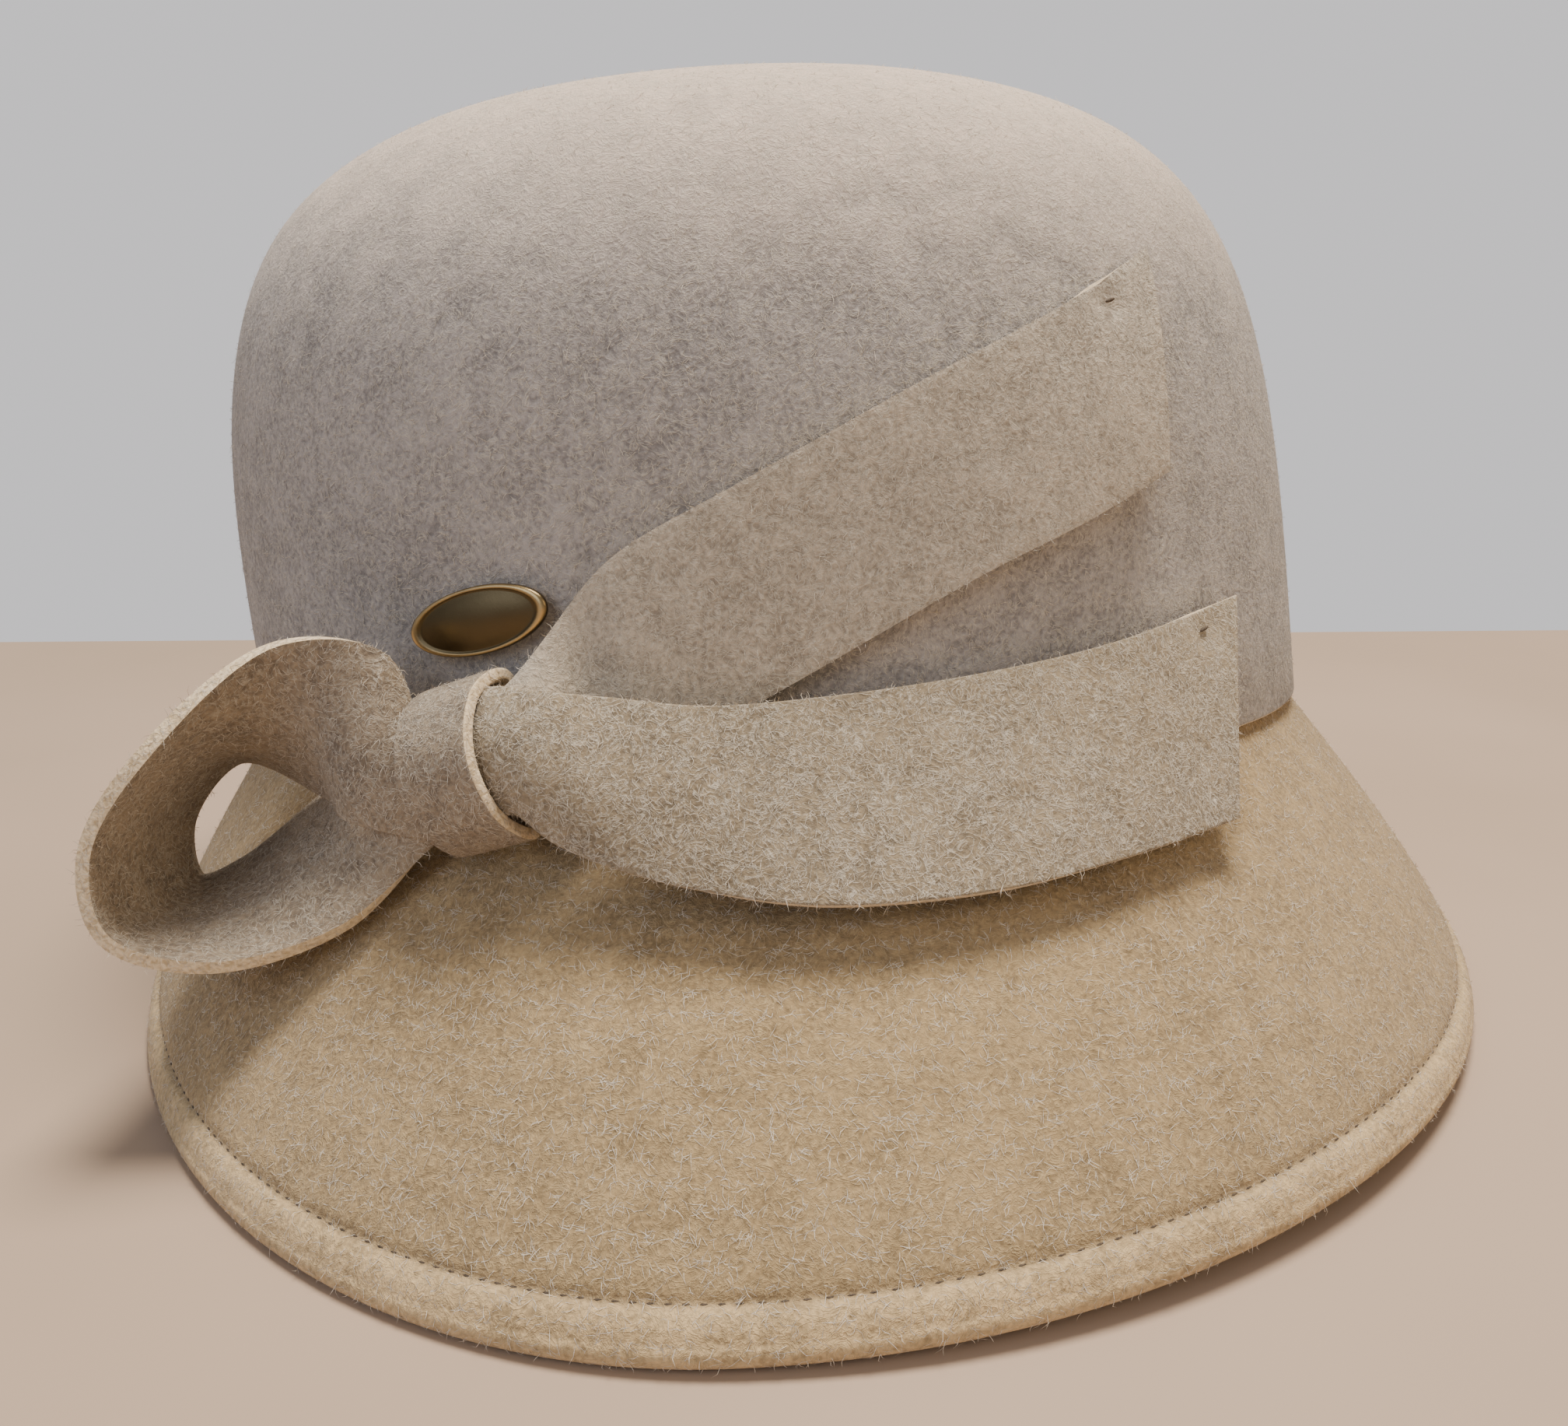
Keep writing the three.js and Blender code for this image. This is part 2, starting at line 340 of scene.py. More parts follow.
@dataclass(frozen=True)
class Plain:
    """A plain matt finish for what the hat stands on."""

    name: str
    body: Colour
    shade: Colour

    def material(self) -> bpy.types.Material:
        """Makes the finish.

        Returns:
            The material.
        """
        made = bpy.data.materials.new(self.name)
        bench = Bench(made)
        cloud = bench.noise(bench.place(), 180 * MM, 3)
        bench.set(Base_Color=bench.mix(cloud.between(0.3, 0.7), self.shade, self.body), Roughness=0.62)
        return made


PALE_FIBRE = tint(224, 215, 198)


class Finish(Enum):
    """The finishes of the hat's pieces."""

    CROWN = Felt(
        # The top colour is a painted highlight on the crown's upper part, where light from above falls
        "crown_felt", tint(124, 120, 118), tint(176, 169, 164), PALE_FIBRE, top=tint(218, 198, 180)
    )
    BRIM = Felt(
        "brim_felt", tint(126, 107, 78), tint(168, 144, 106), tint(206, 182, 140), hem=tint(228, 199, 152)
    )
    # The two tail felts are one felt, with painted shade on the lower tail's copy and painted light on the upper
    # tail's lighter copy
    SHADED_TAIL_FELT = Felt("bow_felt", tint(114, 102, 84), tint(158, 142, 116), PALE_FIBRE, fibre_share=0.7)
    LIT_TAIL_FELT = Felt("lit_tail_felt", tint(142, 132, 118), tint(198, 184, 164), PALE_FIBRE, fibre_share=0.7)
    LOOP = Felt("loop_felt", tint(112, 99, 84), tint(160, 143, 120), PALE_FIBRE, fibre_share=0.45)
    # The cut edge's pale colours are a painted highlight where light from above catches the edge
    CUT_EDGE_PAINTED_LIT = CutFelt("cut_edge_painted_highlight", tint(234, 214, 180), tint(194, 172, 136))
    NAP = CutFelt("nap", tint(216, 206, 190), tint(180, 168, 150))
    THREAD = Thread("hem_thread", tint(98, 84, 68), tint(62, 52, 42))
    BRASS = AgedBrass("badge_brass", tint(92, 80, 58), tint(206, 178, 128))
    TABLE = Plain("table", tint(176, 154, 134), tint(168, 147, 127))


class Wardrobe:
    """Makes each finish once."""

    def __init__(self) -> None:
        """Starts with nothing made."""
        self._made: dict[Finish, bpy.types.Material] = {}

    def get(self, finish: Finish) -> bpy.types.Material:
        """The material of a finish."""
        if finish not in self._made:
            self._made[finish] = finish.value.material()
        return self._made[finish]


WARDROBE = Wardrobe()


# ---------------------------------------------------------------- making pieces
def to_object(name: str, form: bmesh.types.BMesh, finishes: Iterable[Finish], smooth: bool = True) -> bpy.types.Object:
    """Turns a bmesh into a piece at the origin.

    Args:
        name: The piece's name.
        form: The bmesh, which is freed.
        finishes: Its finishes, one for each material slot.
        smooth: Whether its faces are shaded smooth.

    Returns:
        The piece.
    """
    mesh = bpy.data.meshes.new(name)
    for face in form.faces:
        face.smooth = smooth
    form.to_mesh(mesh)
    form.free()
    piece = bpy.data.objects.new(name, mesh)
    bpy.context.scene.collection.objects.link(piece)
    for finish in finishes:
        mesh.materials.append(WARDROBE.get(finish))
    return piece


def laid_grid(across: int, along: int, place: Callable[[float, float], Vector]) -> bmesh.types.BMesh:
    """A grid laid over a form, with the rows that meet joined.

    Args:
        across: Cells along u.
        along: Cells along v.
        place: Where the point at (u, v), both 0 to 1, lies.

    Returns:
        The laid grid.
    """
    form = bmesh.new()
    bmesh.ops.create_grid(form, x_segments=across, y_segments=along, size=0.5)
    for vert in form.verts:
        vert.co = place(vert.co.x + 0.5, vert.co.y + 0.5)
    bmesh.ops.remove_doubles(form, verts=form.verts, dist=1e-6)
    return form


def facing_out(form: bmesh.types.BMesh, middle: Vector) -> None:
    """Turns an open or closed form's faces away from a point inside it.

    Args:
        form: The form.
        middle: A point inside it.
    """
    bmesh.ops.recalc_face_normals(form, faces=form.faces)
    outward = sum(face.normal.dot(face.calc_center_median() - middle) * face.calc_area() for face in form.faces)
    if outward < 0:
        bmesh.ops.reverse_faces(form, faces=form.faces)


def thicken(piece: bpy.types.Object, offset: float, edge: float) -> None:
    """Gives a sheet its thickness, a cut edge of its own finish and softened corners.

    Args:
        piece: The sheet.
        offset: -1 puts the thickness inside, 0 to both sides.
        edge: Radius of the corners.
    """
    wall = piece.modifiers.new("wall", "SOLIDIFY")
    wall.thickness = FELT
    wall.offset = offset
    wall.use_even_offset = False
    wall.material_offset_rim = 1
    corners = piece.modifiers.new("corners", "BEVEL")
    corners.width = edge
    corners.segments = 3
    corners.profile = 0.5
    corners.material = -1
    corners.limit_method = "ANGLE"
    corners.angle_limit = math.radians(50)


def finished_mesh(piece: bpy.types.Object) -> bpy.types.Mesh:
    """A piece's mesh with its modifiers applied."""
    bpy.context.view_layer.update()
    graph = bpy.context.evaluated_depsgraph_get()
    return bpy.data.meshes.new_from_object(piece.evaluated_get(graph), depsgraph=graph)


def settle(piece: bpy.types.Object, node: str, slot: str) -> bpy.types.Object:
    """Puts a piece on the hat in place of its CAD node.

    Args:
        piece: The piece.
        node: The CAD node it stands for.
        slot: The record's material slot; not used.

    Returns:
        The piece.
    """
    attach(piece, BODY)
    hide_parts(node)
    return piece


# ---------------------------------------------------------------- forms
class Rail:
    """A smooth line through points, evenly paced between them."""

    def __init__(self, points: list[Vector]) -> None:
        """Keeps the points, with one more past each end."""
        first = points[0] * 2 - points[1]
        last = points[-1] * 2 - points[-2]
        self.points = [first, *points, last]
        self.spans = len(points) - 1

    def at(self, share: float) -> Vector:
        """The point at a share of the way.

        Args:
            share: 0 to 1.

        Returns:
            The point.
        """
        span = min(int(share * self.spans), self.spans - 1)
        part = share * self.spans - span
        p0, p1, p2, p3 = self.points[span : span + 4]
        d0, d1, d2 = (max(math.sqrt((b - a).length), 1e-6) for a, b in ((p0, p1), (p1, p2), (p2, p3)))
        leave = ((p1 - p0) / d0 - (p2 - p0) / (d0 + d1) + (p2 - p1) / d1) * d1
        arrive = ((p2 - p1) / d1 - (p3 - p1) / (d1 + d2) + (p3 - p2) / d2) * d1
        square = (p2 - p1) * 3 - leave * 2 - arrive
        cube = (p1 - p2) * 2 + leave + arrive
        return p1 + leave * part + square * part**2 + cube * part**3


@dataclass(frozen=True)
class CrownForm:
    """The crown's outer face, as a formula."""

    half_length: float = 102 * MM
    half_width: float = 90.5 * MM
    height: float = 110 * MM
    narrowing: float = 0.018
    lean: float = 10 * MM
    shoulder: float = 3.8
    shoulder_spread: float = 0.3
    seat: tuple[float, float, float] = (-6 * MM, 11.4 * MM, 44.5 * MM)
    back_tilt: float = 1.35
    side_tilt: float = 4.7

    def frame(self) -> Matrix:
        """The matrix that seats the crown."""
        back = Matrix.Rotation(-math.radians(self.back_tilt), 4, "Y")
        side = Matrix.Rotation(-math.radians(self.side_tilt), 4, "X")
        return Matrix.Translation(self.seat) @ back @ side

    def face(self, turn: float, share: float, inset: float = 0.0) -> Vector:
        """A point on the wall.

        Args:
            turn: Degrees from +X towards +Y.
            share: Share of the height over the seam.
            inset: How far inside the outer face.

        Returns:
            The point.
        """
        angle = math.radians(turn)
        power = self.shoulder + self.shoulder_spread * math.cos(angle)
        closing = max(0.0, 1 - share**power) ** (1 / power) if share > 0 else 1.0
        drawn = 1 - self.narrowing * share
        length = (self.half_length - inset) * drawn * math.cos(angle) - self.lean * share
        width = (self.half_width - inset) * drawn * math.sin(angle)
        return SEATING @ Vector((closing * length, closing * width, share * (self.height - inset)))

    def off(self, turn: float, rise: float, stand_off: float) -> Vector:
        """A point off the wall, by its height over the seam and distance from the outer face."""
        share = rise / self.height
        here = self.face(turn, share)
        around = self.face(turn + 0.1, share) - here
        up = self.face(turn, share + 0.001) - here
        return here + around.cross(up).normalized() * stand_off

    def side_frame(self, spot: "Spot") -> Matrix:
        """A frame on the wall: z out from it, y up it, x round it towards the front."""
        place = self.off(spot.turn, spot.rise, spot.stand_off)
        out = (self.off(spot.turn, spot.rise, spot.stand_off + MM) - place).normalized()
        up = (self.off(spot.turn, spot.rise + MM, spot.stand_off) - place).normalized()
        around = up.cross(out).normalized()
        upright = out.cross(around)
        basis = Matrix((around, upright, out)).transposed().to_4x4()
        turned = (
            Matrix.Rotation(-math.radians(spot.swing), 4, "Y")
            @ Matrix.Rotation(-math.radians(spot.tilt), 4, "X")
            @ Matrix.Rotation(math.radians(spot.twist), 4, "Z")
        )
        return Matrix.Translation(place) @ basis @ turned


class Spot(NamedTuple):
    """A place on the crown's side and how a piece is turned there, in degrees."""

    turn: float
    rise: float
    stand_off: float
    tilt: float = 0.0
    swing: float = 0.0
    twist: float = 0.0


CROWN_FORM = CrownForm()
SEATING = CROWN_FORM.frame()


# ---------------------------------------------------------------- nap
@dataclass
class Nap:
    """Loose fibres lying on felt and standing off its edges."""

    count: int
    length: float = 1.7 * MM
    width: float = 0.07 * MM
    lift: float = 0.24
    seed: int = 3

    def comb(self, name: str, piece: bpy.types.Object, wanted: Callable[[Vector, Vector], bool]) -> bpy.types.Object:
        """Scatters fibres over a piece.

        Args:
            name: The nap's name.
            piece: The felt piece.
            wanted: Says from a face's middle and normal whether it gets nap.

        Returns:
            The nap.
        """
        chance = random.Random(self.seed)
        mesh = finished_mesh(piece)
        faces = [face for face in mesh.polygons if wanted(face.center, face.normal)]
        picks = chance.choices(faces, weights=[face.area for face in faces], k=self.count)
        form = bmesh.new()
        for face in picks:
            corners = [mesh.vertices[i].co for i in face.vertices]
            weights = [chance.random() for _ in corners]
            root = sum((corner * w for corner, w in zip(corners, weights)), Vector()) / sum(weights)
            self._fibre(form, root, face.normal.copy(), chance)
        bpy.data.meshes.remove(mesh)
        return to_object(name, form, [Finish.NAP])

    def _fibre(self, form: bmesh.types.BMesh, root: Vector, out: Vector, chance: random.Random) -> None:
        """Adds one bent fibre that tapers to a point."""
        side = out.orthogonal().normalized()
        side.rotate(Matrix.Rotation(chance.uniform(0, math.tau), 3, out))
        way = out.cross(side).normalized()
        length = self.length * chance.uniform(0.45, 1.25)
        lift = self.lift * chance.random() ** 2
        bend = side * length * chance.uniform(-0.22, 0.22)
        middle = root + way * length * 0.5 + out * length * lift + bend
        tip = root + way * length + out * length * lift * chance.uniform(0.4, 1.9)
        across = side * (self.width / 2)
        base = [form.verts.new(p) for p in (root - across, root + across)]
        waist = [form.verts.new(p) for p in (middle - across, middle + across)]
        form.faces.new((base[0], base[1], waist[1], waist[0]))
        form.faces.new((waist[0], waist[1], form.verts.new(tip)))


# ---------------------------------------------------------------- crown
@dataclass
class Crown:
    """The blocked crown."""

    around: int = 288
    up: int = 72
    unevenness: float = 0.35 * MM

    def build(self) -> bpy.types.Object:
        """Models the crown's wall.

        Returns:
            The crown.
        """
        power = 2 / CROWN_FORM.shoulder

        def place(u: float, v: float) -> Vector:
            share = math.sin(v * math.pi / 2) ** power if v > 0 else 0.0
            point = CROWN_FORM.face(360 * u, min(share, 1.0))
            wave = math.sin(3 * math.tau * u + 4 * v) * math.sin(7 * v + 1) + 0.6 * math.sin(5 * math.tau * u - 6 * v)
            calm = math.sin(math.pi * min(1.0, v * 1.02)) ** 2
            return point + (point - middle).normalized() * self.unevenness * wave * calm

        middle = SEATING @ Vector((0, 0, CROWN_FORM.height * 0.4))
        form = laid_grid(self.around, self.up, place)
        facing_out(form, middle)
        piece = to_object("felt_crown", form, [Finish.CROWN, Finish.CUT_EDGE_PAINTED_LIT])
        thicken(piece, -1, 0.6 * MM)
        return piece

    def dress(self, piece: bpy.types.Object) -> list[bpy.types.Object]:
        """Puts the crown on the hat and gives it its nap.

        Args:
            piece: The crown.

        Returns:
            The crown and its nap.
        """
        middle = SEATING @ Vector((0, 0, CROWN_FORM.height * 0.4))
        settle(piece, "crown", "crown")
        nap = Nap(count=44000).comb("crown_nap", piece, lambda at, out: out.dot(at - middle) > 0)
        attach(nap, BODY)
        return [piece, nap]


# ---------------------------------------------------------------- brim
@dataclass
class Brim:
    """The flared brim, its turned-under hem and the stitches along it."""

    middle: tuple[float, float] = (-14.7 * MM, 11 * MM)
    back: float = 110.3 * MM
    front: float = 139.7 * MM
    bow_side: float = 143.2 * MM
    far_side: float = 121.2 * MM
    collar: float = 8 * MM
    ease: float = 0.5 * MM
    tuck: float = 1.2 * MM
    bulge: float = 1.6 * MM
    hem: float = 4.5 * MM
    turning: float = 8 * MM
    groove: float = 0.55 * MM
    puff: float = 0.3 * MM
    rest_angle: float = 65
    lift: float = 3 * MM
    lift_turn: float = 305
    lift_spread: float = 28
    stitches: int = 336

    def roll(self, turn: float) -> Vector:
        """The middle of the rolled edge."""
        angle = math.radians(turn)
        along = self.back if math.cos(angle) < 0 else self.front
        across = self.bow_side if math.sin(angle) < 0 else self.far_side
        away = (turn % 360 - self.lift_turn) / self.lift_spread
        rise = FELT * math.sin(math.radians(self.rest_angle)) + self.lift * math.exp(-away * away)
        x = self.middle[0] + along * math.cos(angle)
        y = self.middle[1] + across * math.sin(angle)
        return Vector((x, y, rise))

    def section(self, turn: float) -> list[tuple[Vector, float, float]]:
        """One radial section, as a closed outline.

        Args:
            turn: Degrees from +X towards +Y.

        Returns:
            Each point with its share of hem and of stitch line; the stitch-line share masks the painted shade in the
            stitch groove.
        """
        roll = self.roll(turn)
        head = CROWN_FORM.face(turn, 0, self.tuck) - Vector((0, 0, self.tuck))
        out = Vector((roll.x - head.x, roll.y - head.y, 0))
        slope = math.degrees(math.atan2(out.length, head.z - roll.z))
        out.normalize()

        def direction(angle: float) -> Vector:
            return out * math.cos(math.radians(angle)) + Vector((0, 0, math.sin(math.radians(angle))))

        normal = direction(slope)
        start = roll + normal * FELT
        slant = (head - start).length
        pucker = 0.75 + 0.25 * math.cos(math.tau * self.stitches * turn / 360)

        def flare(distance: float, depth: float) -> tuple[Vector, float, float]:
            share = distance / slant
            full = self.bulge * math.sin(math.pi * min(1.0, max(0.0, share)) ** 0.7)
            hem = 1 / (1 + math.exp((distance - self.hem) / (0.3 * MM)))
            line = math.exp(-(((distance - self.hem) / (0.55 * MM)) ** 2))
            beyond = math.exp(-(((distance - self.hem) / (1.6 * MM)) ** 2)) * 0.35
            swell = self.puff * math.sin(math.pi * min(1.0, max(0.0, distance / self.hem)))
            sunk = self.groove * (line * pucker + beyond) if depth == 0 else 0.0
            raised = swell if depth == 0 else 0.0
            point = start.lerp(head, share) + normal * (full - depth - sunk + raised)
            return point, (hem if depth == 0 else 0.0), (line * pucker if depth == 0 else 0.0)

        def rolled(angle: float) -> tuple[Vector, float, float]:
            return roll + direction(angle) * FELT, 1.0, 0.0

        top = self.collar / CROWN_FORM.height
        outside = FELT + self.ease
        points = [rolled(slope - 180 + (self.rest_angle - slope) * k / 6) for k in range(6)]
        points += [rolled(-self.rest_angle + (slope + self.rest_angle) * k / 10) for k in range(11)]
        points += [flare(self.hem * k / 9, 0) for k in range(1, 15)]
        first = self.hem * 14 / 9
        points += [flare(first + (slant - first) * k / 22, 0) for k in range(1, 23)]
        points += [(CROWN_FORM.face(turn, share, inset), 0.0, 0.0) for share, inset in (
            (0, outside), (top, outside), (top, outside + FELT), (0, outside + FELT))]
        last = self.turning * 1.15
        points += [flare(slant * 0.9 + (last - slant * 0.9) * k / 12, FELT) for k in range(13)]
        points += [flare(self.turning, 2 * FELT)]
        return points

    def build(self) -> bpy.types.Object:
        """Models the brim.

        Returns:
            The brim.
        """
        around = 2 * self.stitches
        sections = [self.section(360 * i / around) for i in range(around)]
        rows = len(sections[0])
        form = bmesh.new()
        bmesh.ops.create_grid(form, x_segments=around, y_segments=rows, size=0.5)
        hem = form.verts.layers.float.new("hem")
        # mask of the painted shade along the stitch groove
        painted_groove_shade = form.verts.layers.float.new("painted_groove_shade")
        for vert in form.verts:
            i = round((vert.co.x + 0.5) * around) % around
            k = round((vert.co.y + 0.5) * rows) % rows
            vert.co, vert[hem], vert[painted_groove_shade] = sections[i][k]
        bmesh.ops.remove_doubles(form, verts=form.verts, dist=1e-6)
        bmesh.ops.recalc_face_normals(form, faces=form.faces)
        return to_object("felt_brim", form, [Finish.BRIM])

    def sew(self) -> bpy.types.Object:
        """Models the machine stitches of the hem.

        Returns:
            The stitches.
        """
        form = bmesh.new()
        for k in range(self.stitches):
            turn = 360 * k / self.stitches
            here, ahead = self._stitch_place(turn), self._stitch_place(turn + 0.1)
            way = (ahead - here).normalized()
            made = bmesh.ops.create_uvsphere(form, u_segments=6, v_segments=4, radius=1.0)["verts"]
            size = Matrix.Diagonal((0.2 * MM, 0.2 * MM, 0.78 * MM, 1))
            place = Matrix.Translation(here) @ way.to_track_quat("Z", "Y").to_matrix().to_4x4()
            bmesh.ops.transform(form, matrix=place @ size, verts=made)
        return to_object("hem_stitches", form, [Finish.THREAD])

    def _stitch_place(self, turn: float) -> Vector:
        """Where a stitch lies, on the bottom of its groove."""
        first_flare = 17
        return self.section(turn)[first_flare + 8][0]

    def dress(self, piece: bpy.types.Object, stitches: bpy.types.Object) -> list[bpy.types.Object]:
        """Puts the brim on the hat with its stitches and nap.

        Args:
            piece: The brim.
            stitches: Its stitches.

        Returns:
            The brim's pieces.
        """
        settle(piece, "brim", "brim")
        middle = Vector((*self.middle, 60 * MM))
        nap = Nap(count=46000, seed=11).comb(
            "brim_nap", piece, lambda at, out: out.dot(Vector((at.x - middle.x, at.y - middle.y, 0)).normalized()) + out.z > 0.1
        )
        for extra in (stitches, nap):
            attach(extra, BODY)
        return [piece, stitches, nap]


# ---------------------------------------------------------------- bow
class LoopRow(NamedTuple):
    """The middle of the loop's strip, the direction across it, its width and its bulge."""

    x: float
    y: float
    z: float
    across_x: float
    across_y: float
    across_z: float
    width: float
    cup: float


class TailRow(NamedTuple):
    """Where a tail's upper and lower edges lie on the crown, and the bulge between them."""

    turn: float
    rise: float
    stand_off: float
    low_turn: float
    low_rise: float
    low_stand_off: float
    cup: float


class Edges(NamedTuple):
    """The two edges of a strip at one row, and its bulge."""

    upper: Vector
    lower: Vector
    cup: float


class Tack(NamedTuple):
    """A hand stitch that pulls a tail in."""

    turn: float
    rise: float
    stand_off: float
    depth: float


LOOP = [
    LoopRow(-66.8, -76.2, 58.8, 0.2, 0.15, 0.97, 24.5, 2.0),
    LoopRow(-77.5, -71.3, 59.6, -0.09, -0.34, 0.94, 27, 0.6),
    LoopRow(-93.4, -71.7, 54.9, -0.09, -0.94, 0.33, 27, 0),
    LoopRow(-102.0, -73.7, 43.0, -0.12, -0.98, 0.17, 27, 0),
    LoopRow(-100.4, -75.4, 32.7, -0.09, -0.99, 0.08, 27, 0),
    LoopRow(-90.4, -75.3, 31.6, 0.15, -0.97, -0.18, 27, 0),
    LoopRow(-73.7, -73.9, 39.6, 0.28, -0.83, -0.49, 26, 1),
]
UPPER_TAIL = [
    TailRow(253.8, 25.8, 2.2, 255.4, 0.2, 6.2, -0.4),
    TailRow(258.6, 33.4, 2.2, 259.7, 5.0, 3.6, 0.4),
    TailRow(268.0, 42.0, 1.9, 269.4, 13.8, 2.4, 0.2),
    TailRow(285.1, 56.4, 2.0, 286.4, 28.7, 2.6, 0.3),
    TailRow(297.5, 65.4, 2.0, 296.4, 35.4, 2.7, 0.7),
    TailRow(309.0, 73.9, 2.2, 305.8, 41.8, 2.9, 1.2),
]
LOWER_TAIL = [
    TailRow(252.8, 15.4, 11.2, 253.8, -3.8, 15.8, 2.8),
    TailRow(257.6, 14.2, 8.9, 258.0, -6.9, 17.4, 1.6),
    TailRow(264.1, 12.8, 7.6, 263.5, -9.7, 18.3, 0.6),
    TailRow(272.8, 13.2, 5.6, 270.8, -11.9, 19.3, 0.2),
    TailRow(285.3, 14.9, 3.8, 282.0, -12.2, 18.0, 0),
    TailRow(298.0, 17.6, 3.2, 292.5, -11.0, 15.2, 0),
    TailRow(313.9, 22.1, 3.0, 304.5, -9.6, 12.8, 0),
]


@dataclass
class Bow:
    """The loop, the knot and the two tails."""

    knot: Spot = Spot(246.4, 4.4 * MM, 6.8 * MM, 14, 6, 13)
    knot_width: float = 13 * MM
    knot_height: float = 24.8 * MM
    knot_depth: float = 10 * MM
    gathered: float = 17 * MM
    lead: float = 1.2 * MM
    bend: float = 7.2 * MM
    upper_tack: Tack = Tack(302.3, 66 * MM, 3.4 * MM, 1.1 * MM)
    lower_tack: Tack = Tack(308, 18 * MM, 4 * MM, 0.6 * MM)

    def __post_init__(self) -> None:
        """Works out the knot's frame."""
        self.frame = CROWN_FORM.side_frame(self.knot)

    def knot_bend(self, y: float) -> float:
        """How far the knot stands out at a height along it."""
        return self.bend * (1 - (2 * y / self.knot_height) ** 2)

    def knot_rows(self, way: int, layer: int, upright: int) -> list[Edges]:
        """A strip's rows inside the knot, from its middle outwards.

        Args:
            way: 1 towards the front, -1 towards the back.
            layer: 1 in front, -1 behind.
            upright: -1 if the strip runs upside down.

        Returns:
            The rows.
        """
        past = self.knot_width / 2 + self.lead
        half = self.gathered / 2
        depth = layer * (FELT / 2 + GAP) + self.knot_bend(half)
        cup = self.knot_bend(0) - self.knot_bend(half)
        return [
            Edges(
                self.frame @ Vector((way * place, upright * half, depth)),
                self.frame @ Vector((way * place, -upright * half, depth)),
                cup,
            )
            for place in (GAP, past * 0.7, past)
        ]

    def loop_rows(self) -> list[Edges]:
        """The loop's rows, from the knot round and back."""
        rows = []
        for row in LOOP:
            across = Vector((row.across_x, row.across_y, row.across_z)).normalized() * (row.width * MM / 2)
            middle = Vector((row.x, row.y, row.z)) * MM
            rows.append(Edges(middle + across, middle - across, row.cup * MM))
        return [*self.knot_rows(-1, 1, 1), *rows, *reversed(self.knot_rows(-1, -1, -1))]

    def tail_rows(self, table: list[TailRow], layer: int) -> list[Edges]:
        """A tail's rows, from the knot to its free end."""
        rows = [
            Edges(
                CROWN_FORM.off(row.turn, row.rise * MM, row.stand_off * MM),
                CROWN_FORM.off(row.low_turn, row.low_rise * MM, row.low_stand_off * MM),
                row.cup * MM,
            )
            for row in table
        ]
        return [*self.knot_rows(1, layer, 1), *rows]

    def strip(
        self, name: str, rows: list[Edges], along: int, facing: int, finish: Finish, tack: Tack | None = None
    ) -> bpy.types.Object:
        """Lays a strip of felt through its rows.

        Args:
            name: The piece's name.
            rows: Its rows.
            along: Cells along it.
            facing: 1 where its bulge is on its right, -1 where it is on its left.
            finish: Its felt.
            tack: A hand stitch that dimples it.

        Returns:
            The strip.
        """
        upper = Rail([row.upper for row in rows])
        lower = Rail([row.lower for row in rows])
        cups = Rail([Vector((k, row.cup, 0)) for k, row in enumerate(rows)])
        small = 0.003

        def flat(u: float, w: float) -> Vector:
            return upper.at(u).lerp(lower.at(u), w)

        def place(u: float, w: float) -> Vector:
            way = flat(min(1.0, u + small), w) - flat(max(0.0, u - small), w)
            out = way.cross(lower.at(u) - upper.at(u)).normalized() * facing
            point = flat(u, w) + out * (4 * w * (1 - w) * cups.at(u).y)
            if tack is not None:
                centre = CROWN_FORM.off(tack.turn, tack.rise, tack.stand_off)
                near = (point - centre).length / (2.6 * MM)
                point -= out * (tack.depth * math.exp(-near * near))
            return point

        form = laid_grid(along, 22, place)
        bmesh.ops.recalc_face_normals(form, faces=form.faces)
        piece = to_object(name, form, [finish, Finish.CUT_EDGE_PAINTED_LIT])
        thicken(piece, 0, 0.6 * MM)
        return piece

    def band(self) -> bpy.types.Object:
        """Models the knot's band.

        Returns:
            The band.
        """
        half = self.knot_depth / 2 - FELT / 2
        straight = (self.knot_height - self.knot_depth) / 2
        loop_length = 4 * straight + math.tau * half

        def place(u: float, v: float) -> Vector:
            run = (u * loop_length) % loop_length
            x = (v - 0.5) * self.knot_width
            if run < 2 * straight:
                y, z = straight - run, half
            elif run < 2 * straight + math.pi * half:
                angle = (run - 2 * straight) / half
                y, z = -straight - half * math.sin(angle), half * math.cos(angle)
            elif run < 4 * straight + math.pi * half:
                y, z = -straight + run - 2 * straight - math.pi * half, -half
            else:
                angle = (run - 4 * straight - math.pi * half) / half
                y, z = straight + half * math.sin(angle), -half * math.cos(angle)
            return self.frame @ Vector((x, y, z + self.knot_bend(y)))

        form = laid_grid(120, 22, place)
        facing_out(form, self.frame @ Vector((0, 0, self.bend * 0.6)))
        piece = to_object("felt_knot", form, [Finish.LOOP, Finish.CUT_EDGE_PAINTED_LIT])
        thicken(piece, 0, 0.6 * MM)
        return piece

    def tack_stitch(self, name: str, tack: Tack) -> bpy.types.Object:
        """Models one hand stitch, a short loop of thread in its dimple.

        Args:
            name: The piece's name.
            tack: Its place.

        Returns:
            The stitch.
        """
        place = CROWN_FORM.side_frame(Spot(tack.turn, tack.rise, tack.stand_off - tack.depth + 0.9 * MM, twist=12))
        form = bmesh.new()
        made = bmesh.ops.create_uvsphere(form, u_segments=12, v_segments=8, radius=1.0)["verts"]
        size = Matrix.Diagonal((1.0 * MM, 0.3 * MM, 0.3 * MM, 1))
        bmesh.ops.transform(form, matrix=place @ size, verts=made)
        return to_object(name, form, [Finish.THREAD])

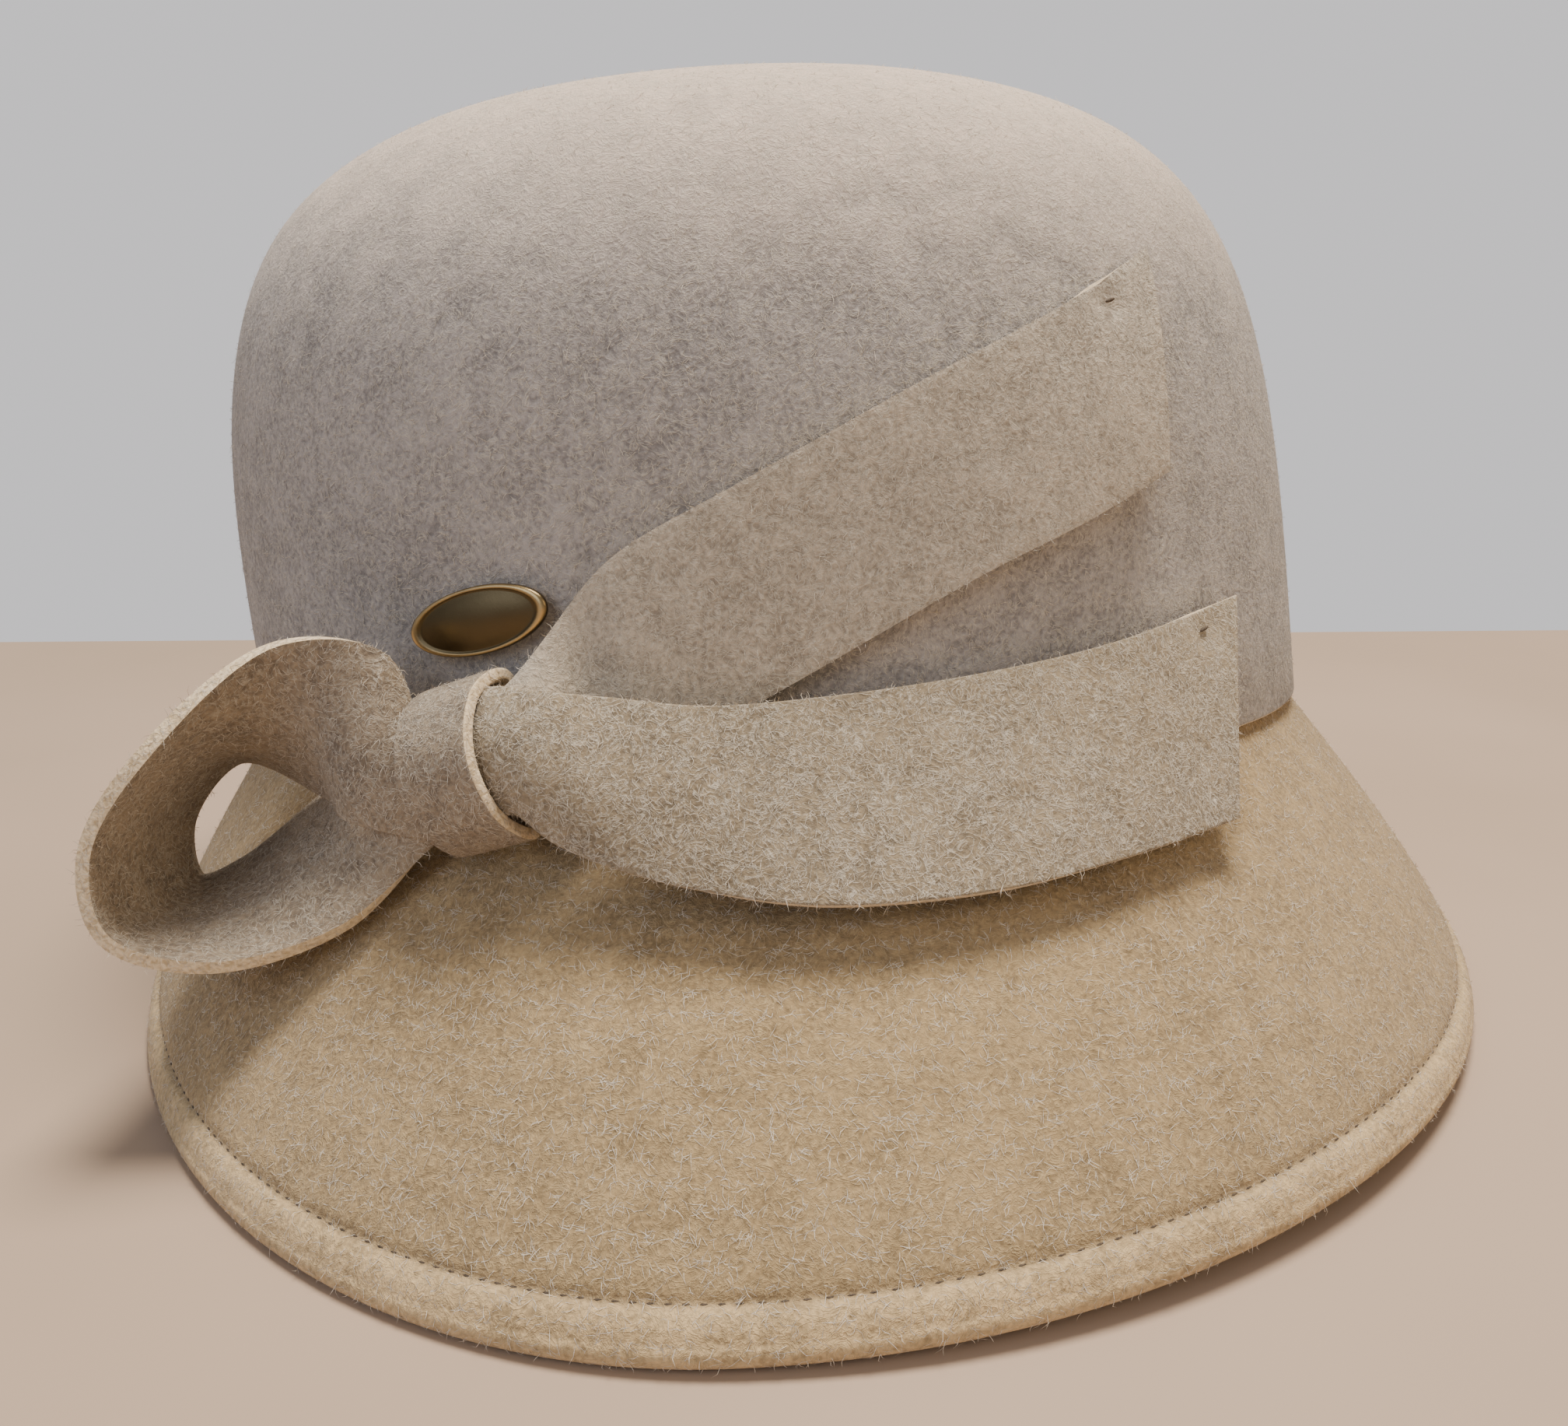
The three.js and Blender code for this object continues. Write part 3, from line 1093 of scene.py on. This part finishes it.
    def build(self) -> dict[str, bpy.types.Object]:
        """Models the bow's pieces, by the CAD node each stands for."""
        return {
            "bow_loop": self.strip("felt_loop", self.loop_rows(), 190, 1, Finish.LOOP),
            "bow_knot": self.band(),
            # The upper tail takes the lighter copy of the bow felt (painted light), the lower tail the darker copy
            # (painted shade)
            "upper_tail": self.strip(
                "felt_upper_tail", self.tail_rows(UPPER_TAIL, -1), 130, -1, Finish.LIT_TAIL_FELT, self.upper_tack
            ),
            "lower_tail": self.strip(
                "felt_lower_tail", self.tail_rows(LOWER_TAIL, 1), 140, -1, Finish.SHADED_TAIL_FELT, self.lower_tack
            ),
        }

    def dress(self, pieces: dict[str, bpy.types.Object]) -> list[bpy.types.Object]:
        """Puts the bow on the hat with its stitches and nap; each strip's cut size is worked out but not passed on.

        Args:
            pieces: The bow's pieces by CAD node.

        Returns:
            The bow's pieces.
        """
        cut = {
            "bow_loop": (STRIP, self._run(self.loop_rows()), "folded", ["felt_knot"]),
            "bow_knot": (self.knot_width, self._band_length(), "stretched", ["felt_loop", "felt_upper_tail"]),
            "upper_tail": (STRIP, self._run(self.tail_rows(UPPER_TAIL, -1)), "laid", ["felt_crown"]),
            "lower_tail": (STRIP, self._run(self.tail_rows(LOWER_TAIL, 1)), "laid", ["felt_crown", "felt_brim"]),
        }
        shown = []
        for seed, (node, piece) in enumerate(pieces.items()):
            settle(piece, node, node)
            width, length, held, rests_on = cut[node]
            area = abs(piece_area(piece))
            min(area, width * length)
            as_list(rests_on)
            nap = Nap(count=2500 if node == "bow_knot" else 9000, seed=20 + seed).comb(
                f"{node}_nap", piece, lambda at, out: True
            )
            shown += [piece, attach(nap, BODY)]
        tacks = {"upper_tail": self.upper_tack, "lower_tail": self.lower_tack}
        for node, tack in tacks.items():
            stitch = self.tack_stitch(f"{node}_stitch", tack)
            shown.append(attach(stitch, BODY))
        return shown

    def _run(self, rows: list[Edges]) -> float:
        """The length of a strip's middle line."""
        rail = Rail([row.upper.lerp(row.lower, 0.5) for row in rows])
        points = [rail.at(k / 200) for k in range(201)]
        return sum((b - a).length for a, b in zip(points, points[1:]))

    def _band_length(self) -> float:
        """The length of the knot's band."""
        straight = (self.knot_height - self.knot_depth) / 2
        return 4 * straight + math.tau * (self.knot_depth - FELT) / 2


def piece_area(piece: bpy.types.Object) -> float:
    """The area of a sheet before it is given its thickness."""
    return sum(face.area for face in piece.data.polygons)


# ---------------------------------------------------------------- badge
@dataclass
class Badge:
    """The small oval plate, bare, with a low dome inside a raised rim."""

    spot: Spot = Spot(245.6, 24 * MM, 1 * MM, twist=8)
    length: float = 23.6 * MM
    height: float = 9.8 * MM
    thickness: float = 1.4 * MM
    dome: float = 0.5

    def build(self) -> bpy.types.Object:
        """Models the badge.

        Returns:
            The badge.
        """
        profile = [(0.0, 0.0), (0.93, 0.0), (0.985, 0.18), (1.0, 0.5), (0.99, 0.85), (0.955, 1.04), (0.91, 1.08)]
        profile += [(0.87, 1.0), (0.845, 0.9), (0.81, 0.92), (0.7, 1.08), (0.5, 1.27), (0.25, 1.42), (0.0, 1.47)]
        form = bmesh.new()
        verts = [form.verts.new((radius, 0, height * self.thickness)) for radius, height in profile]
        edges = [form.edges.new(pair) for pair in zip(verts, verts[1:])]
        bmesh.ops.spin(
            form, geom=[*verts, *edges], cent=(0, 0, 0), axis=(0, 0, 1), angle=math.tau, steps=72, use_merge=True
        )
        bmesh.ops.remove_doubles(form, verts=form.verts, dist=1e-7)
        bmesh.ops.recalc_face_normals(form, faces=form.faces)
        rim = form.verts.layers.float.new("rim")
        for vert in form.verts:
            radius = math.hypot(vert.co.x, vert.co.y)
            vert[rim] = math.exp(-(((radius - 0.94) / 0.05) ** 2))
        scale = Matrix.Diagonal((self.length / 2, self.height / 2, 1, 1))
        bmesh.ops.transform(form, matrix=CROWN_FORM.side_frame(self.spot) @ scale, verts=form.verts)
        bmesh.ops.recalc_face_normals(form, faces=form.faces)
        return to_object("plain_badge", form, [Finish.BRASS])

    def dress(self, piece: bpy.types.Object) -> list[bpy.types.Object]:
        """Puts the badge on the hat."""
        return [settle(piece, "badge", "badge")]


# ---------------------------------------------------------------- stage
@dataclass
class Stage:
    """The table, the light and the camera."""

    table_back: float = 0.256
    camera_place: tuple[float, float, float] = (-0.0122, -0.2571, 0.1127)
    camera_down: float = 15.72
    camera_yaw: float = -1.42
    camera_roll: float = -0.13
    lens: float = 30.29
    room_light: float = 0.42
    wall_light: float = 1.15

    def build(self) -> None:
        """Sets the stage."""
        form = bmesh.new()
        bmesh.ops.create_grid(form, x_segments=1, y_segments=1, size=1.0)
        middle = Matrix.Translation((0, self.table_back - 1.4, 0))
        bmesh.ops.transform(form, matrix=middle @ Matrix.Diagonal((1.8, 1.4, 1, 1)), verts=form.verts)
        to_object("table_top", form, [Finish.TABLE])
        self._light("key", (0.15, 0.14, 1.35), 0.55, 35, tint(255, 244, 230))
        self._light("window", (-0.9, -1.0, 0.8), 1.2, 7, tint(226, 236, 255))
        self._light("lamp", (1.2, -0.7, 0.8), 0.8, 6, tint(255, 228, 190))
        self._world()
        self._camera()

    def _light(self, name: str, place: tuple[float, float, float], size: float, power: float, colour: Colour) -> None:
        """Hangs a soft light aimed at the hat."""
        light = bpy.data.lights.new(name, "AREA")
        light.shape = "DISK"
        light.size = size
        light.energy = power
        light.color = colour[:3]
        lamp = bpy.data.objects.new(name, light)
        lamp.location = place
        lamp.rotation_euler = (Vector((0, 0, 0.06)) - Vector(place)).to_track_quat("-Z", "Y").to_euler()
        bpy.context.scene.collection.objects.link(lamp)

    def _world(self) -> None:
        """Lights the room evenly, pale and a little warm."""
        world = bpy.data.worlds.new("room")
        world.use_nodes = True
        tree = world.node_tree
        sky = tree.nodes["Background"]
        sky.inputs["Color"].default_value = tint(218, 216, 218)
        seen = tree.nodes.new("ShaderNodeLightPath").outputs["Is Camera Ray"]
        strength = tree.nodes.new("ShaderNodeMapRange")
        strength.inputs["To Min"].default_value = self.room_light
        strength.inputs["To Max"].default_value = self.wall_light
        tree.links.new(seen, strength.inputs["Value"])
        tree.links.new(strength.outputs["Result"], sky.inputs["Strength"])
        bpy.context.scene.world = world

    def _camera(self) -> None:
        """Places the camera."""
        camera = bpy.data.cameras.new("view")
        camera.lens = self.lens
        camera.sensor_width = 36
        camera.clip_start = 0.01
        holder = bpy.data.objects.new("view", camera)
        yaw = Matrix.Rotation(math.radians(self.camera_yaw), 4, "Z")
        pitch = Matrix.Rotation(math.radians(90 - self.camera_down), 4, "X")
        roll = Matrix.Rotation(math.radians(self.camera_roll), 4, "Z")
        holder.matrix_world = Matrix.Translation(self.camera_place) @ yaw @ pitch @ roll
        bpy.context.scene.collection.objects.link(holder)
        bpy.context.scene.camera = holder


def main() -> None:
    """Builds the hat, dresses it and sets its stage."""
    logging.basicConfig(level=logging.INFO, format="%(message)s")
    Stage().build()
    crown, brim, bow, badge = Crown(), Brim(), Bow(), Badge()
    shown = crown.dress(crown.build())
    shown += brim.dress(brim.build(), brim.sew())
    shown += bow.dress(bow.build())
    shown += badge.dress(badge.build())
    for piece in shown:
        log.info("%s: %d faces", piece.name, len(piece.data.polygons))


if __name__ == "__main__":
    main()
